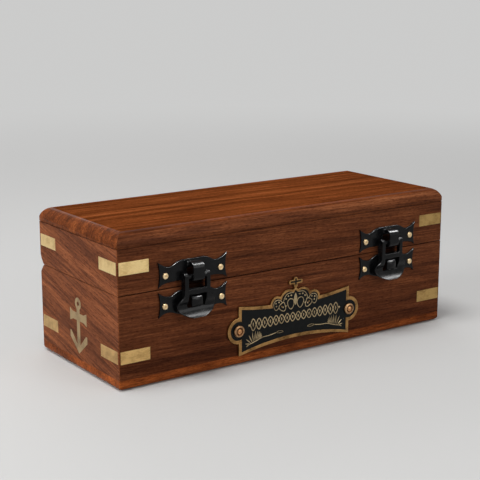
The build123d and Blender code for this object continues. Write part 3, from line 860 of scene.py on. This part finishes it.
def nailPair(node, name, kind, brass):
    low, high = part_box(node)
    model = nailModel(name + "Model", kind)
    height = (low[2] + high[2]) / 2
    seat = low[1] + kind["rise"] * mm
    spots = (low[0] + kind["radius"] * mm, high[0] - kind["radius"] * mm)
    upright = (math.pi / 2, 0, 0)
    pair = [copyTo(model, name, (x, seat, height), upright) for x in spots]
    bpy.data.objects.remove(model)
    return place(joined(pair, name), brass, "brass", bodyOf(node), node)


for hand in hands:
    for side in ("latch", "catch"):
        name = f"{hand}{side.capitalize()}Nails"
        nailPair(f"{hand}_{side}_nails", name, nailKinds["plain"], brasses["nailBrass"])
nailPair("nameplate_nails", "nameplateNails", nailKinds["broad"], brasses["copperyBrass"])
print("nails done")

# Hinge screws: flush heads with a saw cut

screwShape = {
    "radius": 1.46,  # mm
    "sides": 40,
    "thick": 0.6,
    "ease": 0.1,
    "slot": (4.0, 0.42, 0.5),
    "slotTurn": 0.5,
    "fromEnd": 1.5,  # of the pair's box, to the middle of each head
    "turns": (0.3, 1.4),
}


def screwModel():
    deselect()
    bpy.ops.mesh.primitive_cylinder_add(
        vertices=screwShape["sides"],
        radius=screwShape["radius"] * mm,
        depth=screwShape["thick"] * mm,
        location=(0, 0, -screwShape["thick"] / 2 * mm),
    )
    screw = bpy.context.object
    freeze()
    applied(screw, "BEVEL", width=screwShape["ease"] * mm, segments=2, limit_method="ANGLE")
    bpy.ops.mesh.primitive_cube_add(size=1, location=(0, 0, 0), rotation=(0, 0, screwShape["slotTurn"]))
    cutter = bpy.context.object
    cutter.scale = [side * mm for side in screwShape["slot"]]
    freeze()
    applied(screw, "BOOLEAN", object=cutter, operation="DIFFERENCE")
    bpy.data.objects.remove(cutter)
    return screw


def screwPair(node, name, flip):
    low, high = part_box(node)
    model = screwModel()
    depth = (low[1] + high[1]) / 2
    height = low[2] if flip else high[2]
    inset = screwShape["fromEnd"] * mm
    tilt = math.pi if flip else 0
    pair = []
    for x, turn in zip((low[0] + inset, high[0] - inset), screwShape["turns"]):
        pair.append(copyTo(model, name, (x, depth, height), (tilt, 0, turn)))
    bpy.data.objects.remove(model)
    return place(joined(pair, name), brasses["hingeBrass"], "brass", bodyOf(node), node)


for hand in hands:
    for part in ("base", "lid"):
        name = f"{hand}Hinge{part.capitalize()}Screws"
        screwPair(f"{hand}_hinge_{part}_screws", name, part == "lid")
print("hinge screws done")

# Raised ornament on the nameplate: a crown's arches, a plaited band and two sprigs

ornament = {
    "centre": (0, -42.5, 19.1),  # mm, the middle of the nail line
    "enamelFace": 1.05,  # out from the wood
    "brassFace": 1.2,
    "relief": 0.16,
    "line": 0.23,  # radius of a drawn line
    "bladeTaper": 0.35,
}
crest = {  # u and v of the right half; the left half mirrors it
    "leaf": (0, 11.6, 2.5, 7.0),
    "gem": (0, 17.2, 1.0, 1.3),
    "shield": [(1.5, 11.9), (4.4, 12.4), (5.8, 10.3), (4.9, 7.9), (3.2, 6.0), (1.7, 7.4), (0.9, 9.2)],
    "arch": [(1.3, 15.5), (4.4, 15.6), (7.2, 14.4), (8.2, 11.4)],
    "lobe": [(8.9, 10.9), (10.6, 13.1), (14.4, 12.4), (15.0, 9.4), (13.0, 6.4), (11.5, 8.2)],
    "loop": [(7.9, 11.4), (11.4, 9.5), (11.1, 7.7), (8.2, 5.7), (6.4, 6.9), (7.2, 9.4)],
    "beads": [
        (6.5, 12.6),
        (4.9, 13.9),
        (2.9, 14.0),
        (6.5, 8.6),
        (13.2, 11.0),
        (11.2, 11.4),
        (12.9, 9.4),
        (8.4, 8.2),
    ],
    "bead": 1.0,
}
band = {
    "reach": 30.0,  # mm to either side
    "middle": 1.9,
    "height": (4.3, 1.7),  # in the middle, and what the ends add
    "waves": 8,
    "steps": 6,  # in half a wave
    "swing": 1.12,
    "strand": 0.32,
    "eye": (1.0, 2.0),
    "endBead": (0.7, 1.3),  # how far past the band, and how wide
}
sprig = {
    "fan": [(23.6, -6.4), (30.9, -8.5)],  # where the blades spring from
    "blades": 11,
    "bladeWidth": 0.72,
    "lean": (122, -20, -130),  # degrees at the start, then by the share and by its cube
    "reach": (2.1, 3.8),
    "stem": [(30.9, -8.5), (27.0, -7.6), (23.6, -6.4), (21.5, -5.8), (17.5, -5.9), (13.2, -5.1)],
    "leaf": [(13.4, -5.1), (11.0, -4.2), (7.4, -5.2), (10.8, -5.8)],
    "leafLine": 0.15,
}
finial = {
    "arms": [(-3.4, 21.3), (0, 21.3), (3.4, 21.3)],
    "post": [(0, 19.6), (0, 21.5), (0, 23.0)],
    "line": 0.5,
    "relief": 0.04,
}


def onPlate(u, v, out=ornament["enamelFace"]):
    x, y, z = ornament["centre"]
    return ((x + u) * mm, (y - out) * mm, (z + v) * mm)


def bladeModel():
    deselect()
    bpy.ops.mesh.primitive_uv_sphere_add(segments=10, ring_count=9, radius=0.5, rotation=(math.pi / 2, 0, 0))
    blade = bpy.context.object
    freeze()
    sheet = editing(blade)
    for vertex in sheet.verts:
        vertex.co.x *= max(1 - abs(2 * vertex.co.y), 0) ** ornament["bladeTaper"]
    bmesh.update_edit_mesh(blade.data)
    bpy.ops.object.mode_set(mode="OBJECT")
    return blade


def beadModel():
    deselect()
    bpy.ops.mesh.primitive_uv_sphere_add(segments=10, ring_count=7, radius=0.5)
    return bpy.context.object


def stamped(source, u, v, width, height, turn=0.0):
    lean = math.radians(turn)
    size = (width * mm, height * mm, 2 * ornament["relief"] * mm)
    return copyTo(source, "stamp", onPlate(u, v), (math.pi / 2, lean, 0), size)


def wireAlong(
    points,
    radius=ornament["line"],
    closed=False,
    out=ornament["enamelFace"],
    relief=ornament["relief"],
):
    bpy.ops.curve.primitive_nurbs_path_add()
    wire = bpy.context.object
    wire.data.splines.clear()
    spline = wire.data.splines.new("NURBS")
    spline.points.add(len(points) - 1)
    for point, (u, v) in zip(spline.points, points):
        point.co = (*onPlate(u, v, out), 1)
    spline.order_u = 3
    spline.use_endpoint_u = not closed
    spline.use_cyclic_u = closed
    wire.data.resolution_u = 4
    wire.data.bevel_depth = radius * mm
    wire.data.bevel_resolution = 1
    wire.data.use_fill_caps = True
    bpy.ops.object.convert(target="MESH")
    wire = bpy.context.object
    seat = onPlate(0, 0, out)[1]
    for vertex in wire.data.vertices:
        vertex.co.y = seat + (vertex.co.y - seat) * relief / radius
    return wire


def mirroredPoints(points, side):
    return [(side * u, v) for u, v in points]


def crestStamps(blade, bead):
    made = [stamped(blade, *crest["leaf"]), stamped(bead, *crest["gem"])]
    for side in (-1, 1):
        made.append(wireAlong(mirroredPoints(crest["shield"], side), closed=True))
        made.append(wireAlong(mirroredPoints(crest["loop"], side), closed=True))
        made.append(wireAlong(mirroredPoints(crest["arch"], side)))
        made.append(wireAlong(mirroredPoints(crest["lobe"], side)))
        for u, v in mirroredPoints(crest["beads"], side):
            made.append(stamped(bead, u, v, crest["bead"], crest["bead"]))
    return made


def bandHalf(u):
    middle, flare = band["height"]
    return (middle + flare * (u / band["reach"]) ** 2) / 2


def plaitedBand(blade, bead):
    made = []
    reach, turns = band["reach"], band["waves"]
    steps = band["steps"] * turns
    for phase in (0, math.pi):
        line = []
        for step in range(2 * steps + 1):
            u = (step / steps - 1) * reach
            swing = bandHalf(u) * math.sin(math.pi * turns * (u / reach + 1) + phase)
            line.append((u, band["middle"] + band["swing"] * swing))
        made.append(wireAlong(line, band["strand"]))
    for eye in range(2 * turns):
        u = ((eye + 0.5) / turns - 1) * reach
        width, height = band["eye"]
        made.append(stamped(blade, u, band["middle"], width, height * bandHalf(u) / bandHalf(0)))
    past, size = band["endBead"]
    for side in (-1, 1):
        made.append(stamped(bead, side * (reach + past), band["middle"], size, size))
    return made


def sprigs(blade):
    made = []
    inner, outer = (Vector(point) for point in sprig["fan"])
    start, steady, curl = sprig["lean"]
    for side in (-1, 1):
        made.append(wireAlong(mirroredPoints(sprig["stem"], side)))
        made.append(wireAlong(mirroredPoints(sprig["leaf"], side), sprig["leafLine"], closed=True))
        for index in range(sprig["blades"]):
            share = index / (sprig["blades"] - 1)
            angle = math.radians(start + steady * share + curl * share**3)
            length = sprig["reach"][0] + sprig["reach"][1] * math.sin(math.pi * share)
            spot = inner.lerp(outer, share) + Vector((math.cos(angle), math.sin(angle))) * length / 2
            turn = 90 - math.degrees(angle)
            made.append(stamped(blade, side * spot.x, spot.y, sprig["bladeWidth"], length, side * turn))
    return made


def addOrnament():
    blade, bead = bladeModel(), beadModel()
    made = crestStamps(blade, bead) + plaitedBand(blade, bead) + sprigs(blade)
    bpy.data.objects.remove(blade)
    bpy.data.objects.remove(bead)
    return joined(made, "nameplateOrnament", 60)


def addFinialEnamel():
    seat, relief = ornament["brassFace"], finial["relief"]
    lines = [wireAlong(finial[part], finial["line"], out=seat, relief=relief) for part in ("arms", "post")]
    return joined(lines, "finialEnamel", 60)


place(addOrnament(), brasses["paleBrass"], "brass", "base")
place(addFinialEnamel(), enamel, "plaque_enamel", "base")
print("nameplate ornament done")

# Velvet linings: cloth glued over thin boards, with a soft edge all round

lining = {"cell": 3.0, "inset": 0.15, "edge": 0.5, "puff": 0.35, "puffSize": 14, "sunk": 0.9}
facings = {  # which way each board's velvet looks into the box
    "floor": (0, 0, 1),
    "front": (0, 1, 0),
    "back": (0, -1, 0),
    "left": (1, 0, 0),
    "right": (-1, 0, 0),
}


def puffed(piece, look):
    cloud = bpy.data.textures.new(piece.name + "Cloud", "CLOUDS")
    cloud.noise_scale = look["puffSize"] * mm
    cloud.noise_depth = 1
    rise = look["puff"] * mm
    applied(piece, "DISPLACE", texture=cloud, texture_coords="LOCAL", strength=rise, mid_level=look["sunk"])


def velvetBoard(name, node, facing):
    low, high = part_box(node)
    middle = (Vector(low) + Vector(high)) / 2
    size = Vector(high) - Vector(low)
    toward = Vector(facing)
    thick = abs(size.dot(toward))
    wide = size.y if facing[0] else size.x
    tall = size.y if facing[2] else size.z
    tilt = toward.to_track_quat("Z", "Y")
    deselect()
    bpy.ops.mesh.primitive_grid_add(
        x_subdivisions=round(wide / mm / lining["cell"]),
        y_subdivisions=round(tall / mm / lining["cell"]),
        size=1,
        location=middle + toward * thick / 2,
        rotation=tilt.to_euler(),
    )
    piece = bpy.context.object
    piece.name = name
    sideways = abs((tilt @ Vector((1, 0, 0))).z) > 0.5
    spread = (tall, wide) if sideways else (wide, tall)
    piece.scale = (spread[0] - 2 * lining["inset"] * mm, spread[1] - 2 * lining["inset"] * mm, 1)
    freeze()
    applied(piece, "SOLIDIFY", thickness=thick, offset=-1)
    applied(piece, "BEVEL", width=lining["edge"] * mm, segments=3, limit_method="ANGLE")
    puffed(piece, lining)
    return smoothed(piece), spread


for part in ("base", "lid"):
    for side, facing in facings.items():
        if (part, side) == ("lid", "floor"):
            continue
        node = f"{part}_{side}_lining"
        piece, spread = velvetBoard(f"{part}{side.capitalize()}Velvet", node, facing)
        place(piece, velvet, "velvet", part, node)
print("linings done")

# Padded panel under the lid's top

lidPad = {
    "cell": 2.6,
    "edge": 0.6,
    "thick": 1.5,
    "deepest": 2.85,  # how far the swollen cloth may hang below the wood
    "margin": 0.5,  # to the walls before it swells
    "gap": 0.15,  # and after
    "upscale": 10,  # cloth behaves better when it is larger
    "frames": 20,
    "cloth": {
        "quality": 6,
        "mass": 0.3,
        "tension_stiffness": 12,
        "compression_stiffness": 12,
        "shear_stiffness": 4,
        "bending_stiffness": 0.4,
        "use_pressure": True,
        "uniform_pressure_force": 0.3,
        "shrink_min": -0.006,
    },
}


def swollen(pad, glued):
    scene = bpy.context.scene
    selectOnly(pad)
    cloth = pad.modifiers.new("cloth", "CLOTH")
    for name, value in lidPad["cloth"].items():
        setattr(cloth.settings, name, value)
    cloth.settings.effector_weights.gravity = 0
    cloth.settings.vertex_group_mass = glued.name
    cloth.point_cache.frame_start = 1
    cloth.point_cache.frame_end = lidPad["frames"]
    for number in range(1, lidPad["frames"] + 1):
        scene.frame_set(number)
    bpy.ops.object.modifier_apply(modifier=cloth.name)
    scene.frame_set(1)


def addLidPad():
    low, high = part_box("lid_pad")
    size = Vector(high) - Vector(low)
    upscale = lidPad["upscale"]
    top = high[2] * upscale
    deselect()
    bpy.ops.mesh.primitive_grid_add(
        x_subdivisions=round(size.x / mm / lidPad["cell"]),
        y_subdivisions=round(size.y / mm / lidPad["cell"]),
        size=1,
        location=(0, 0, top),
        rotation=(math.pi, 0, 0),
    )
    pad = bpy.context.object
    pad.name = "lidPadVelvet"
    margins = 2 * lidPad["margin"] * mm
    pad.scale = ((size.x - margins) * upscale, (size.y - margins) * upscale, 1)
    freeze()
    applied(pad, "SOLIDIFY", thickness=lidPad["thick"] * mm * upscale, offset=1)
    applied(pad, "BEVEL", width=lidPad["edge"] * mm * upscale, segments=2, limit_method="ANGLE")
    glued = pad.vertex_groups.new(name="glued")
    held = [vertex.index for vertex in pad.data.vertices if vertex.co.z > top - 0.01 * mm]
    glued.add(held, 1.0, "REPLACE")
    swollen(pad, glued)
    pad.vertex_groups.clear()
    reach = size / 2 - Vector((lidPad["gap"], lidPad["gap"], 0)) * mm
    for vertex in pad.data.vertices:
        vertex.co /= upscale
        vertex.co.x = max(-reach.x, min(reach.x, vertex.co.x))
        vertex.co.y = max(-reach.y, min(reach.y, vertex.co.y))
        vertex.co.z = max(high[2] - lidPad["deepest"] * mm, min(high[2], vertex.co.z))
    depths = [high[2] - vertex.co.z for vertex in pad.data.vertices]
    print("lid pad hangs", round(max(depths) / mm, 2), "mm")
    return smoothed(pad)


pad = place(addLidPad(), velvet, "velvet", "lid", "lid_pad")

# Cradles: velvet wrapped over wood, with a round saddle

cradleShape = {
    "saddles": {"left": 24.5, "right": 21.0},  # mm, radius
    "saddleSides": 96,
    "axisHeight": 36.0,
    "voxel": 0.8,
    "rounds": 5,
    "puff": 0.5,
    "puffSize": 9,
    "sunk": 0.8,
}


def addCradle(hand):
    low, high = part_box(f"{hand}_cradle_cover")
    size = Vector(high) - Vector(low)
    middle = (Vector(low) + Vector(high)) / 2
    deselect()
    bpy.ops.mesh.primitive_cube_add(size=1, location=middle)
    cradle = bpy.context.object
    cradle.name = f"{hand}CradleVelvet"
    cradle.scale = size
    freeze()
    bpy.ops.mesh.primitive_cylinder_add(
        vertices=cradleShape["saddleSides"],
        radius=cradleShape["saddles"][hand] * mm,
        depth=2 * size.x,
        location=(middle.x, 0, cradleShape["axisHeight"] * mm),
        rotation=(0, math.pi / 2, 0),
    )
    cutter = bpy.context.object
    applied(cradle, "BOOLEAN", object=cutter, operation="DIFFERENCE")
    bpy.data.objects.remove(cutter)
    applied(cradle, "REMESH", mode="VOXEL", voxel_size=cradleShape["voxel"] * mm)
    applied(cradle, "SMOOTH", factor=0.5, iterations=cradleShape["rounds"])
    puffed(cradle, cradleShape)
    return smoothed(cradle)


for hand in hands:
    cradle = place(addCradle(hand), velvet, "velvet", "base", f"{hand}_cradle_cover")
print("cradles done")

bpy.context.scene.view_settings.view_transform = "Standard"
